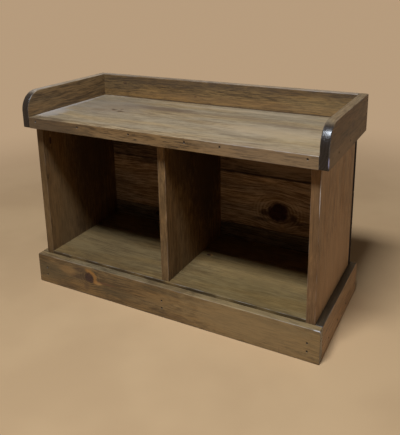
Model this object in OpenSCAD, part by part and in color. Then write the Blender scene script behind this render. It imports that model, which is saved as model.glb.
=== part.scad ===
// Cubby bench: a low seat with a gallery round three sides, over two open cubbies on a plinth.
// Stained pine boards, joined with stopped housings, laps, cleats, nails and screws.
// The origin is on the ground, under the middle of the bench. X runs along the seat, +Y to the back.

/* [Overall] */
// Width over the outer faces of the gallery sides
bench_w = 780; // [620:10:1200]
// Depth from the front of the seat edging to the back of the back boards
bench_d = 328; // [280:1:450]
// Height of the seat top above the ground
seat_h = 460; // [420:5:560]

/* [Boards] */
// Thickness of the boards of the cabinet, seat, gallery and back
board_t = 20; // [18:1:25]
// Thickness of the plinth boards
plinth_t = 18; // [14:1:20]

/* [Seat edging] */
// Height of the strip nailed along the front of the seat board
edging_h = 28; // [24:1:40]
// Thickness of that strip from front to back
edging_t = 22; // [20:1:30]

/* [Gallery] */
// Height of the gallery boards, measured up from the underside of the edging
gallery_h = 90; // [70:1:140]
// Radius of the rounded top front corner of each gallery side
gallery_r = 48; // [10:1:60]

/* [Cabinet] */
// Height that the cubby floor stands above the plinth
floor_rise = 7; // [0:0.5:20]
// Distance of the divider's front edge behind the front edges of the sides
divider_setback = 2; // [0:0.5:30]
// Depth of the housings that hold the cubby floor and the foot of the divider
housing_d = 6; // [3:0.5:8]
// Length of uncut board left in front of each stopped housing
housing_stop = 14; // [8:1:30]

/* [Plinth] */
// Height of the plinth boards
plinth_h = 81; // [50:1:110]

/* [Back boards] */
// Height of the lowest back board, without the tongue along its top edge
back_low_h = 121; // [80:1:140]
// Height of the middle back board, without the tongue along its top edge
back_mid_h = 152; // [80:1:160]
// Height of the laps where the back boards meet
lap_h = 10; // [6:1:14]
// Gap left over each tongue, for the movement of the wood
lap_gap = 1; // [0.5:0.1:3]
// Play between the overlapping faces of two laps
lap_play = 0.5; // [0.2:0.1:1]

/* [Cleats] */
// Width and height of the square cleats under the seat
cleat_w = 20; // [16:1:28]
// Distance of the cleats' front ends behind the front edges of the sides
cleat_setback = 24; // [10:1:60]
// Distance of the cleats' back ends in front of the back boards
cleat_back = 12; // [0:1:40]

/* [Nails] */
// Diameter of the nail shanks
nail_d = 2; // [1.4:0.1:2.5]
// Diameter of the nail heads
nail_head_d = 3.2; // [2.6:0.1:4]
// Depth of the nail heads below the wood
nail_set = 1; // [0.5:0.1:2]
// Length of nail past the first board, into what carries it
nail_bite = 25; // [15:1:30]
// Length of a plinth nail past the plinth, inside the side behind it
plinth_bite = 14; // [8:1:16]
// Distance of the edging nails below the seat top
edging_nail_drop = 9; // [6:0.5:12]
// Distance of the end nails in the edging from its ends
edging_nail_inset = 22; // [12:1:40]
// Drift of each edging nail along the edging from its even place, as hammered by hand
edging_nail_drift = [0, -8, 0, 6, -49, 0];
// Height of the lower nails in the front of the plinth
plinth_nail_z = 25; // [15:1:30]
// Distance between the lower and upper nails at each end of the plinth front
plinth_nail_rise = 20; // [14:1:24]
// Height of the nails in the sides of the plinth
plinth_side_nail_z = 21.5; // [12:0.5:30]
// Distance from nail to nail along the sides of the plinth
plinth_side_pitch = 75; // [60:1:80]
// Distance of the back board nails from the boards' edges
back_nail_edge = 30; // [20:1:36]
// Distance of the outer nails or screws along a housed or butted edge from that edge's ends
nail_inset = 50; // [36:1:70]
// Distance of the outer nails in the gallery back from its ends
gallery_back_nail_inset = 80; // [40:1:120]
// Distance of the corner nails from the gallery's top edge, and above the seat top
corner_nail_edge = 15; // [10:1:20]

/* [Screws] */
// Diameter of the screw shanks
screw_d = 4; // [3:0.1:5]
// Diameter of the countersunk screw heads
screw_head_d = 8; // [7:0.1:9]
// Length of screw past a cleat, into the board that it holds
screw_bite = 13; // [8:1:15]
// Distance of the outer screws from the ends of a cleat
screw_inset = 30; // [20:1:60]
// Distance along a cleat between the screws that go up and those that go sideways
screw_step = 16; // [12:1:30]

/* [Fits] */
// Play on the diameter between a fastener and its hole
hole_play = 0.2; // [0.1:0.1:0.5]

/* [Hidden] */
$fn = 48;

// Planes of the seat, cabinet and back
front_y = -bench_d / 2;
back_y = bench_d / 2;
cabinet_y = front_y + edging_t;
back_face_y = back_y - board_t;
side_x = bench_w / 2 - board_t;
side_in_x = side_x - board_t;
seat_under = seat_h - board_t;
edging_under = seat_h - edging_h;
gallery_top = edging_under + gallery_h;
plinth_y = cabinet_y - plinth_t;
plinth_x = side_x + plinth_t;
floor_top = plinth_h + floor_rise;
floor_under = floor_top - board_t;
back_joint_low = back_low_h;
back_joint_high = back_low_h + back_mid_h;
divider_stop_y = cabinet_y + divider_setback + housing_stop;
cleat_y = cabinet_y + cleat_setback;
cleat_l = back_face_y - cleat_back - cleat_y;
cleat_under = seat_under - cleat_w;

// Places of the fasteners
side_mid_x = side_x - board_t / 2;
back_mid_y = back_y - board_t / 2;
edging_nails_n = len(edging_nail_drift);
per_edge_n = 3;
gallery_back_nails_n = 5;
edging_nail_pitch = (2 * side_x - 2 * edging_nail_inset) / (edging_nails_n - 1);
edging_nail_z = seat_h - edging_nail_drop;
seat_mid_z = seat_h - board_t / 2;
floor_mid_z = floor_top - board_t / 2;
nail_head_t = 1.2;
nail_tip = 2 * nail_d;
nail_point_d = 0.4;
screw_head_h = (screw_head_d - screw_d) / 2;
screw_tip = 2 * screw_d;
screw_point_d = 0.6;
screw_slot_w = 1;
screw_slot_d = 1.2;
// Length by which a hole is deeper than its fastener
hole_over = 0.5;
// Overlap that keeps a cut from ending on the face that it opens
cut = 1;
// Number of sides of a whole circle of the gallery's rounded corners
corner_fn = 96;

stain = [0.42, 0.30, 0.19];
stain_worn = [0.56, 0.46, 0.33];
stain_dark = [0.33, 0.23, 0.15];
raw_pine = [0.72, 0.56, 0.37];
steel = [0.45, 0.45, 0.47];

// A board between two corners
module board(low, high) {
    translate(low)
        cube(high - low);
}

// A nail of a given length, its point down and the face of the wood at z = 0
module nail(length) {
    translate([0, 0, -nail_set - nail_head_t])
        cylinder(h = nail_head_t, d = nail_head_d);
    translate([0, 0, -length + nail_tip])
        cylinder(h = length - nail_tip - nail_set - nail_head_t, d = nail_d);
    translate([0, 0, -length])
        cylinder(h = nail_tip, d1 = nail_point_d, d2 = nail_d);
}

// The hole that a nail of that length makes
module nail_hole(length) {
    translate([0, 0, -nail_set - nail_head_t])
        cylinder(h = nail_set + nail_head_t + cut, d = nail_head_d + hole_play);
    translate([0, 0, -length - hole_over])
        cylinder(h = length + hole_over, d = nail_d + hole_play);
}

// A slotted countersunk screw, its point down and the face of the wood at z = 0
module screw(length) {
    difference() {
        union() {
            translate([0, 0, -screw_head_h])
                cylinder(h = screw_head_h, d1 = screw_d, d2 = screw_head_d);
            translate([0, 0, -length + screw_tip])
                cylinder(h = length - screw_tip - screw_head_h, d = screw_d);
            translate([0, 0, -length])
                cylinder(h = screw_tip, d1 = screw_point_d, d2 = screw_d);
        }
        translate([-screw_head_d / 2, -screw_slot_w / 2, -screw_slot_d])
            cube([screw_head_d, screw_slot_w, screw_slot_d + cut]);
    }
}

// The pilot hole and countersink for that screw
module screw_hole(length) {
    wide = screw_head_d + hole_play;
    narrow = screw_d + hole_play;
    translate([0, 0, -(wide - narrow) / 2])
        cylinder(h = (wide - narrow) / 2, d1 = narrow, d2 = wide);
    cylinder(h = cut, d = wide);
    translate([0, 0, -length - hole_over])
        cylinder(h = length + hole_over, d = narrow);
}

// Evenly spread places between two ends
function spread(from, to, count) = [for (i = [0 : count - 1]) from + (to - from) * i / (count - 1)];

// Each of these puts its children at the places of one group of fasteners, pointing into the wood
module at_edging_nails() {
    for (i = [0 : edging_nails_n - 1])
        translate([-side_x + edging_nail_inset + i * edging_nail_pitch + edging_nail_drift[i],
            front_y, edging_nail_z])
            rotate([90, 0, 0])
                children();
}

module at_gallery_side_nails() {
    for (s = [-1, 1], y = spread(cabinet_y + nail_inset, back_face_y - nail_inset, per_edge_n))
        translate([s * bench_w / 2, y, seat_mid_z])
            rotate([0, s * 90, 0])
                children();
}

module at_gallery_corner_nails() {
    for (s = [-1, 1], z = [seat_h + corner_nail_edge, gallery_top - corner_nail_edge])
        translate([s * bench_w / 2, back_mid_y, z])
            rotate([0, s * 90, 0])
                children();
}

module at_gallery_back_nails() {
    out_x = side_x - gallery_back_nail_inset;
    for (x = spread(-out_x, out_x, gallery_back_nails_n))
        translate([x, back_y, seat_mid_z])
            rotate([-90, 0, 0])
                children();
}

module at_back_board_nails() {
    for (x = [-side_mid_x, 0, side_mid_x],
        z = [back_nail_edge, back_joint_low - back_nail_edge,
            back_joint_low + back_nail_edge, back_joint_high - back_nail_edge,
            back_joint_high + back_nail_edge, edging_under - back_nail_edge])
        translate([x, back_y, z])
            rotate([-90, 0, 0])
                children();
}

module at_plinth_front_nails() {
    for (x = [-side_mid_x, 0, side_mid_x], z = [plinth_nail_z, plinth_nail_z + plinth_nail_rise])
        translate([x, plinth_y, z])
            rotate([90, 0, 0])
                children();
}

module at_plinth_side_nails() {
    last_y = back_face_y - nail_bite - nail_head_d;
    for (s = [-1, 1], y = [front_y + plinth_side_pitch : plinth_side_pitch : last_y])
        translate([s * plinth_x, y, plinth_side_nail_z])
            rotate([0, s * 90, 0])
                children();
}

module at_cubby_floor_nails() {
    for (s = [-1, 1], y = spread(cabinet_y + nail_inset, back_face_y - nail_inset, per_edge_n))
        translate([s * side_x, y, floor_mid_z])
            rotate([0, s * 90, 0])
                children();
}

module at_divider_screws() {
    for (y = spread(cabinet_y + nail_inset, back_face_y - nail_inset, per_edge_n))
        translate([0, y, floor_under])
            rotate([180, 0, 0])
                children();
}

// Along each cleat one row of screws goes sideways and one goes up, a step apart
module at_cleat_screws() {
    for (y = spread(cleat_y + screw_inset, cleat_y + cleat_l - screw_inset - screw_step, per_edge_n)) {
        translate([-side_in_x + cleat_w, y, seat_under - cleat_w / 2])
            rotate([0, 90, 0])
                children();
        translate([side_in_x - cleat_w, y, seat_under - cleat_w / 2])
            rotate([0, -90, 0])
                children();
        translate([-board_t / 2 - cleat_w, y, seat_under - cleat_w / 2])
            rotate([0, -90, 0])
                children();
    }
}

module at_seat_screws() {
    for (x = [-side_in_x + cleat_w / 2, side_in_x - cleat_w / 2, -board_t / 2 - cleat_w / 2],
        y = spread(cleat_y + screw_inset + screw_step, cleat_y + cleat_l - screw_inset, per_edge_n))
        translate([x, y, cleat_under])
            rotate([180, 0, 0])
                children();
}

module edging_nail_holes() {
    at_edging_nails()
        nail_hole(edging_t + nail_bite);
}

module gallery_side_nail_holes() {
    at_gallery_side_nails()
        nail_hole(board_t + nail_bite);
}

module gallery_corner_nail_holes() {
    at_gallery_corner_nails()
        nail_hole(board_t + nail_bite);
}

module gallery_back_nail_holes() {
    at_gallery_back_nails()
        nail_hole(board_t + nail_bite);
}

module back_board_nail_holes() {
    at_back_board_nails()
        nail_hole(board_t + nail_bite);
}

module plinth_front_nail_holes() {
    at_plinth_front_nails()
        nail_hole(plinth_t + nail_bite);
}

module plinth_side_nail_holes() {
    at_plinth_side_nails()
        nail_hole(plinth_t + plinth_bite);
}

module cubby_floor_nail_holes() {
    at_cubby_floor_nails()
        nail_hole(board_t + nail_bite);
}

module divider_screw_holes() {
    at_divider_screws()
        screw_hole(board_t + nail_bite);
}

module cleat_screw_holes() {
    at_cleat_screws()
        screw_hole(cleat_w + screw_bite);
}

module seat_screw_holes() {
    at_seat_screws()
        screw_hole(cleat_w + screw_bite);
}

// The seat board lies on the sides and the divider, behind the edging
module seat_board() {
    color(stain_worn)
        difference() {
            board([-side_x, cabinet_y, seat_under], [side_x, back_face_y, seat_h]);
            edging_nail_holes();
            gallery_side_nail_holes();
            gallery_back_nail_holes();
            seat_screw_holes();
        }
}

module seat_edging() {
    color(stain)
        difference() {
            board([-side_x, front_y, edging_under], [side_x, cabinet_y, seat_h]);
            edging_nail_holes();
        }
}

// One gallery side, with its top front corner rounded
module gallery_side() {
    difference() {
        board([side_x, front_y, edging_under], [side_x + board_t, back_y, gallery_top]);
        difference() {
            board([side_x - cut, front_y - cut, gallery_top - gallery_r],
                [side_x + board_t + cut, front_y + gallery_r, gallery_top + cut]);
            translate([side_x - 2 * cut, front_y + gallery_r, gallery_top - gallery_r])
                rotate([0, 90, 0])
                    cylinder(h = board_t + 4 * cut, r = gallery_r, $fn = corner_fn);
        }
        gallery_side_nail_holes();
        gallery_corner_nail_holes();
    }
}

module gallery_left() {
    color(stain_dark)
        mirror([1, 0, 0])
            gallery_side();
}

module gallery_right() {
    color(stain_dark)
        gallery_side();
}

module gallery_back() {
    color(stain)
        difference() {
            board([-side_x, back_face_y, edging_under], [side_x, back_y, gallery_top]);
            gallery_corner_nail_holes();
            gallery_back_nail_holes();
        }
}

// One side of the cabinet, from the ground to the seat board, with its housing for the cubby floor
module cabinet_side() {
    difference() {
        board([side_in_x, cabinet_y, 0], [side_x, back_face_y, seat_under]);
        board([side_in_x - cut, cabinet_y + housing_stop, floor_under],
            [side_in_x + housing_d, back_face_y + cut, floor_top]);
        back_board_nail_holes();
        plinth_front_nail_holes();
        plinth_side_nail_holes();
        cubby_floor_nail_holes();
        cleat_screw_holes();
    }
}

module left_side() {
    color(stain)
        mirror([1, 0, 0])
            cabinet_side();
}

module right_side() {
    color(stain)
        cabinet_side();
}

// The divider stands in its housing in the cubby floor and reaches the seat board
module centre_divider() {
    y = cabinet_y + divider_setback;
    color(stain)
        difference() {
            union() {
                board([-board_t / 2, y, floor_top], [board_t / 2, back_face_y, seat_under]);
                board([-board_t / 2, divider_stop_y, floor_top - housing_d],
                    [board_t / 2, back_face_y, floor_top + cut]);
            }
            back_board_nail_holes();
            divider_screw_holes();
            cleat_screw_holes();
        }
}

// The cubby floor runs into the housings in both sides, and is notched round their stops
module cubby_floor() {
    color(stain)
        difference() {
            union() {
                board([-side_in_x, cabinet_y, floor_under], [side_in_x, back_face_y, floor_top]);
                board([-side_in_x - housing_d, cabinet_y + housing_stop, floor_under],
                    [side_in_x + housing_d, back_face_y, floor_top]);
            }
            board([-board_t / 2, divider_stop_y, floor_top - housing_d],
                [board_t / 2, back_face_y + cut, floor_top + cut]);
            back_board_nail_holes();
            cubby_floor_nail_holes();
            divider_screw_holes();
        }
}

// A board on edge under the cubby floor, which takes the load of the divider to the ground
module centre_bearer() {
    color(raw_pine)
        difference() {
            board([-board_t / 2, cabinet_y, 0], [board_t / 2, back_face_y, floor_under]);
            back_board_nail_holes();
            plinth_front_nail_holes();
        }
}

// One back board. Its tongue, along the top, stands in front of the rebated edge of the board above
module back_board(low, high, rebated, tongued) {
    tongue_y = back_mid_y - lap_play / 2;
    rebate_y = back_mid_y + lap_play / 2;
    difference() {
        union() {
            board([-side_x, back_face_y, low], [side_x, back_y, high]);
            if (tongued)
                board([-side_x, back_face_y, low], [side_x, tongue_y, high + lap_h - lap_gap]);
        }
        if (rebated)
            board([-side_x - cut, back_face_y - cut, low - cut], [side_x + cut, rebate_y, low + lap_h]);
        back_board_nail_holes();
    }
}

module back_board_top() {
    color(stain_dark)
        back_board(back_joint_high, edging_under, true, false);
}

module back_board_middle() {
    color(stain)
        back_board(back_joint_low, back_joint_high, true, true);
}

module back_board_bottom() {
    color(stain_dark)
        back_board(0, back_joint_low, false, true);
}

module plinth_front() {
    color(stain)
        difference() {
            board([-plinth_x, plinth_y, 0], [plinth_x, cabinet_y, plinth_h]);
            plinth_front_nail_holes();
        }
}

// One side of the plinth, which runs back from the plinth front to cover the ends of the back boards
module plinth_side() {
    difference() {
        board([side_x, cabinet_y, 0], [plinth_x, back_y, plinth_h]);
        plinth_side_nail_holes();
    }
}

module plinth_left() {
    color(stain)
        mirror([1, 0, 0])
            plinth_side();
}

module plinth_right() {
    color(stain)
        plinth_side();
}

// A cleat under the seat board, against the upright board whose face is at x
module cleat(x) {
    color(raw_pine)
        difference() {
            board([x, cleat_y, cleat_under], [x + cleat_w, cleat_y + cleat_l, seat_under]);
            cleat_screw_holes();
            seat_screw_holes();
        }
}

module cleat_left() {
    cleat(-side_in_x);
}

module cleat_right() {
    cleat(side_in_x - cleat_w);
}

module cleat_divider() {
    cleat(-board_t / 2 - cleat_w);
}

module edging_nails() {
    color(steel)
        at_edging_nails()
            nail(edging_t + nail_bite);
}

module gallery_side_nails() {
    color(steel)
        at_gallery_side_nails()
            nail(board_t + nail_bite);
}

module gallery_corner_nails() {
    color(steel)
        at_gallery_corner_nails()
            nail(board_t + nail_bite);
}

module gallery_back_nails() {
    color(steel)
        at_gallery_back_nails()
            nail(board_t + nail_bite);
}

module back_board_nails() {
    color(steel)
        at_back_board_nails()
            nail(board_t + nail_bite);
}

module plinth_front_nails() {
    color(steel)
        at_plinth_front_nails()
            nail(plinth_t + nail_bite);
}

module plinth_side_nails() {
    color(steel)
        at_plinth_side_nails()
            nail(plinth_t + plinth_bite);
}

module cubby_floor_nails() {
    color(steel)
        at_cubby_floor_nails()
            nail(board_t + nail_bite);
}

module divider_screws() {
    color(steel)
        at_divider_screws()
            screw(board_t + nail_bite);
}

module cleat_screws() {
    color(steel)
        at_cleat_screws()
            screw(cleat_w + screw_bite);
}

module seat_screws() {
    color(steel)
        at_seat_screws()
            screw(cleat_w + screw_bite);
}

seat_board();
seat_edging();
gallery_left();
gallery_right();
gallery_back();
left_side();
right_side();
centre_divider();
cubby_floor();
centre_bearer();
back_board_top();
back_board_middle();
back_board_bottom();
plinth_front();
plinth_left();
plinth_right();
cleat_left();
cleat_right();
cleat_divider();
edging_nails();
gallery_side_nails();
gallery_corner_nails();
gallery_back_nails();
back_board_nails();
plinth_front_nails();
plinth_side_nails();
cubby_floor_nails();
divider_screws();
cleat_screws();
seat_screws();
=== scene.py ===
# %% [markdown]
# # A cubby bench in stained pine
# The real bench is made of plain pine boards: a seat with a gallery round three sides, two open cubbies
# under it, and a plinth. Its looks come from three things: boards with slightly rounded edges, the figure of
# pine under a brown stain, and soft light that leaves the cubbies dark. Some light and shade is painted into
# the stain as well: painted shade high in the cubbies and on the right plinth's top, paler and darker patches
# where more or less light fell, and painted highlights on edges and tops. The imported CAD model gives every
# board its place, so it is loaded first, and each board is then made again with a finer surface.

import bpy
import numpy as np
from mathutils import Matrix, Vector


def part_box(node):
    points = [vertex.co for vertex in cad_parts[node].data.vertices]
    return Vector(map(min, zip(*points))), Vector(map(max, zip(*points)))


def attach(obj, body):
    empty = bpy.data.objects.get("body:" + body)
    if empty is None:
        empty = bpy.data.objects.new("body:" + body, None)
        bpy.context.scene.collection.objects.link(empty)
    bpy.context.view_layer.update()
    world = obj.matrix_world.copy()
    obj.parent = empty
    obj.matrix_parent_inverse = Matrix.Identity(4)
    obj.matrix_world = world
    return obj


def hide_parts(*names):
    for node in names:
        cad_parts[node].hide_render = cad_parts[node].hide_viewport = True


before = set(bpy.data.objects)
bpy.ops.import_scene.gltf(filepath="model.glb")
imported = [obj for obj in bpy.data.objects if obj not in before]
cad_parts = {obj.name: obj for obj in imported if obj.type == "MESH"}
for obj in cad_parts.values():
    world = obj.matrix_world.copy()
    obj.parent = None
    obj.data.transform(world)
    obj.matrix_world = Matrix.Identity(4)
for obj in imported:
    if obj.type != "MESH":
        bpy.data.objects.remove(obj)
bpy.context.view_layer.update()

MM = 0.001
print("CAD nodes:", len(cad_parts))

# %% [markdown]
# ## Camera
# The picture was taken standing up, from the right of the bench, looking down at it. A camera can be placed
# by hand until the edges line up, or solved from the places of known corners in the picture. It was solved
# here, so the numbers are odd. The lens is shifted down a little, which keeps the uprights nearly parallel.

# %% Camera
CAMERA_PLACE = (0.6448, -1.1394, 0.7839)
CAMERA_TURN = 27.577
CAMERA_DOWN = 15.255
CAMERA_TILT = -0.705
CAMERA_LENS = 45.65
CAMERA_SENSOR = 36
CAMERA_SHIFT = (-0.02, -0.20)


def turn(axis, degrees):
    """The matrix that turns a direction by an angle about one axis."""
    return Matrix.Rotation(np.radians(degrees), 3, axis)


camera = bpy.data.objects.new("camera", bpy.data.cameras.new("camera"))
bpy.context.scene.collection.objects.link(camera)
camera.data.lens = CAMERA_LENS
camera.data.sensor_width = CAMERA_SENSOR
camera.data.shift_x, camera.data.shift_y = CAMERA_SHIFT
right, forward, up = turn("Y", CAMERA_TILT) @ turn("X", CAMERA_DOWN) @ turn("Z", -CAMERA_TURN)
pose = Matrix((right, up, -forward)).transposed().to_4x4()
pose.translation = CAMERA_PLACE
camera.matrix_world = pose
bpy.context.scene.camera = camera
bpy.context.scene.view_settings.view_transform = "Standard"
print("camera looks along", [round(x, 3) for x in forward])

# %% [markdown]
# ## Node helper
# A material is a tree of nodes. Blender lets them be wired by hand in its editor, or in code, where every
# node takes a few lines. This small class shortens that to one call a node: a value given as a socket is
# linked, and any other value is typed into the node.

# %% Node helper
class Nodes:
    """Adds nodes to one tree and joins them."""

    def __init__(self, tree):
        self.tree = tree
        tree.nodes.clear()

    def add(self, kind, values=None, **settings):
        node = self.tree.nodes.new("ShaderNode" + kind)
        for name, setting in settings.items():
            setattr(node, name, setting)
        for key, value in (values or {}).items():
            if isinstance(value, bpy.types.NodeSocket):
                self.tree.links.new(value, node.inputs[key])
            else:
                node.inputs[key].default_value = value
        return node

    def math(self, operation, *values):
        return self.add("Math", dict(enumerate(values)), operation=operation).outputs[0]

    def scaled(self, vector, scale):
        return self.add("VectorMath", {0: vector, 1: scale}, operation="MULTIPLY").outputs[0]

    def shifted(self, vector, step):
        return self.add("VectorMath", {0: vector, 1: step}, operation="ADD").outputs[0]

    def parts(self, vector):
        """The X, Y and Z of a vector."""
        return self.add("SeparateXYZ", {0: vector}).outputs

    def swing(self, field, amount):
        """A field around 0.5 turned into one that swings about 0, by half the amount each way."""
        return self.math("MULTIPLY", self.math("SUBTRACT", field, 0.5), amount)

    def ease(self, value, low, high, to_low=0.0, to_high=1.0):
        """Runs smoothly from to_low to to_high while value goes from low to high, in either order."""
        if low > high:
            low, high, to_low, to_high = high, low, to_high, to_low
        values = {"Value": value, "From Min": low, "From Max": high, "To Min": to_low, "To Max": to_high}
        return self.add("MapRange", values, interpolation_type="SMOOTHSTEP").outputs["Result"]

    def noise(self, vector, scale, detail=2.0, roughness=0.5, output="Fac"):
        """Noise around 0.5, whose grains are 1/scale metres long in each direction."""
        values = {"Vector": self.scaled(vector, scale), "Scale": 1.0,
                  "Detail": detail, "Roughness": roughness}
        return self.add("TexNoise", values, normalize=True).outputs[output]

    def mix(self, factor, a, b, mode="MIX"):
        """Colour a where factor is 0, and colour b, laid over it in the given mode, where it is 1."""
        return self.add("Mix", {0: factor, 6: a, 7: b}, data_type="RGBA", blend_type=mode).outputs[2]


# %% [markdown]
# ## Floor and backdrop
# The bench stands on a plain pale floor in a warm sand colour. The floor is far wider than the picture, so it
# fills the view behind the bench as well, and far from the bench it keeps one colour, as a backdrop does.
# Above it the world has the same colour where the camera or a reflection looks at it. It lights the bench
# only from low down on the right, as a pale wall there does. A world that was bright all round would fill the
# cubbies with light, and they are nearly black at the back.

# %% Floor and backdrop
FLOOR_COLOUR = (0.47, 0.33, 0.205, 1)
FLOOR_HALF = 30.0
PLAIN_FROM_TO = (0.65, 1.9)
DARK_SAND = (0.54, 0.345, 0.175, 1)
PALE_SAND = (0.60, 0.39, 0.20, 1)
SAND_PATCHES = (3, 3, 3)
PATCH_BORDER = (0.35, 0.65)


def seen_rays(n):
    """1 for rays that the camera sees, straight or in a reflection or through glass, and 0 for light."""
    rays = n.add("LightPath").outputs
    seen = n.math("ADD", rays["Is Camera Ray"], rays["Is Glossy Ray"])
    return n.math("MINIMUM", n.math("ADD", seen, rays["Is Transmission Ray"]), 1.0)


corners = [(-FLOOR_HALF, -FLOOR_HALF, 0), (FLOOR_HALF, -FLOOR_HALF, 0),
           (FLOOR_HALF, FLOOR_HALF, 0), (-FLOOR_HALF, FLOOR_HALF, 0)]
floor_mesh = bpy.data.meshes.new("floor")
floor_mesh.from_pydata(corners, [], [(0, 1, 2, 3)])
floor = bpy.data.objects.new("floor", floor_mesh)
bpy.context.scene.collection.objects.link(floor)

floor_material = bpy.data.materials.new("floor")
floor_material.use_nodes = True
n = Nodes(floor_material.node_tree)
place = n.add("TexCoord").outputs["Object"]
patches = n.noise(place, SAND_PATCHES, detail=3)
sand = n.mix(n.ease(patches, *PATCH_BORDER), DARK_SAND, PALE_SAND)
shader = n.add("BsdfPrincipled", {"Base Color": sand, "Roughness": 0.85})
distance = n.add("VectorMath", {0: place}, operation="LENGTH").outputs["Value"]
far = n.math("MULTIPLY", n.ease(distance, *PLAIN_FROM_TO), seen_rays(n))
plain = n.add("Emission", {"Color": FLOOR_COLOUR, "Strength": 1.0})
surface = n.add("MixShader", {0: far, 1: shader.outputs[0], 2: plain.outputs[0]})
n.add("OutputMaterial", {"Surface": surface.outputs[0]})
floor_mesh.materials.append(floor_material)
print("floor side in metres:", 2 * FLOOR_HALF)

# %% World
RIGHT_LIGHT = (0.80, 0.80, 0.78, 1)
DIM_LIGHT = (0.002, 0.002, 0.002, 1)
LIT_FROM_RIGHT = (0.45, 0.75)
LIT_FROM_BACK = (-0.2, 0.05)
LIT_FROM_BELOW = (0.5, 0.35)

world = bpy.data.worlds.new("world")
bpy.context.scene.world = world
world.use_nodes = True
n = Nodes(world.node_tree)
to_right, to_back, upwards = n.parts(n.add("TexCoord").outputs["Generated"])
lit = n.math("MULTIPLY", n.ease(to_right, *LIT_FROM_RIGHT), n.ease(to_back, *LIT_FROM_BACK))
lit = n.math("MULTIPLY", lit, n.ease(upwards, *LIT_FROM_BELOW))
light = n.mix(lit, DIM_LIGHT, RIGHT_LIGHT)
backdrop = n.add("Background", {"Color": n.mix(seen_rays(n), light, FLOOR_COLOUR), "Strength": 1.0})
n.add("OutputWorld", {"Surface": backdrop.outputs[0]})
print("world light from the right:", RIGHT_LIGHT[:3])

# %% [markdown]
# ## Lamps
# The shadow that the seat throws into the cubbies says where the main light was: high up in front, near the
# bench's middle. Its soft edge says how large it was, and the blue glint on the gallery's round corner says
# that it was cool daylight. The light from the world could do the rest, but the right side looks flat in it,
# so a small warm lamp stands low down on the right.

# %% Lamps
def lamp(name, place, target, width, depth, power, colour):
    """A flat lamp at a place, turned to a target. Its width is level."""
    data = bpy.data.lights.new(name, "AREA")
    data.shape = "RECTANGLE"
    data.size = width
    data.size_y = depth
    data.energy = power
    data.color = colour
    lamp_object = bpy.data.objects.new(name, data)
    bpy.context.scene.collection.objects.link(lamp_object)
    lamp_object.location = place
    aim = Vector(target) - lamp_object.location
    lamp_object.rotation_euler = aim.to_track_quat("-Z", "Y").to_euler()
    print(name, "at", place, "watts", power)


lamp("main_lamp", place=(0.15, -1.22, 2.6), target=(0, 0, 0.3), width=0.8, depth=0.4, power=76,
     colour=(0.87, 0.95, 1.06))
lamp("side_lamp", place=(2.2, 0.2, 0.32), target=(0.3, 0, 0.25), width=0.3, depth=0.3, power=2.7,
     colour=(1.0, 0.98, 0.92))

# %% [markdown]
# ## Grid lines
# Every board is a surface over a grid. The grid is coarse where the board is flat, and finer where something
# happens: along the edges, round each nail and at each joint. The lines near a nail stand where the rim of
# its pit will be.

# %% Grid lines
GRID_STEP = 9 * MM
CLEARANCE = 0.45 * GRID_STEP
EDGE_LINES = np.array([0, 1.0, 2.2]) * MM
PIT_HALF = 5 * MM
PIT_LINES = np.linspace(-1, 1, 17) * PIT_HALF


def grid_lines(low, high, exact):
    """Evenly spaced lines from low to high, left out wherever the exact lines come near."""
    exact = np.unique(np.round(np.clip(np.concatenate([[low, high], exact]), low, high), 7))
    even = np.linspace(low, high, max(2, round((high - low) / GRID_STEP) + 1))
    far = np.abs(even[:, None] - exact[None, :]).min(axis=1) > CLEARANCE
    return np.sort(np.concatenate([exact, even[far]]))


def waves(u, v, seed, pitch, terms=7):
    """The mean of a few sine waves in random directions, about one pitch long: a smooth field within 1."""
    rng = np.random.default_rng(seed)
    angle = rng.uniform(0, np.pi, terms)
    number = 2 * np.pi / pitch * rng.uniform(0.6, 1.6, terms)
    phase = rng.uniform(0, 2 * np.pi, terms)
    along = u[..., None] * np.cos(angle) + v[..., None] * np.sin(angle)
    return np.sin(along * number + phase).mean(axis=-1)


# %% [markdown]
# ## Squares into circles
# A grid has square corners and square rings, but a board has round corners and nails leave round pits. One
# formula turns one into the other. A point is seen from the middle of the circle: its larger coordinate says
# which square ring it is on and becomes its radius, and the ratio of the two becomes its angle.

# %% Squares into circles
PIT_FADE = 0.4


def to_disc(a, b):
    """The point (a, b) of the square from -1 to 1, moved onto the circle whose radius is its larger side.
    The angle is an eighth turn times the smaller side over the larger, counted from the larger's axis."""
    reach = np.maximum(np.maximum(np.abs(a), np.abs(b)), 1e-12)
    wide = np.abs(a) >= np.abs(b)
    slope = np.pi / 4 * np.where(wide, b, a) / reach
    long_side = reach * np.cos(slope) * np.sign(np.where(wide, a, b))
    short_side = reach * np.sin(slope)
    return np.where(wide, long_side, short_side), np.where(wide, short_side, long_side)


def round_pits(u, v, pits):
    """Turns the grid's square rings round each pit into circles, which fade back into squares outwards."""
    for pit_u, pit_v in pits:
        a, b = (u - pit_u) / PIT_HALF, (v - pit_v) / PIT_HALF
        ring = np.maximum(np.abs(a), np.abs(b))
        share = np.clip((1 - ring) / PIT_FADE, 0, 1)
        round_a, round_b = to_disc(a, b)
        u = u + share * (round_a - a) * PIT_HALF
        v = v + share * (round_b - b) * PIT_HALF
    return u, v


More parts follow.
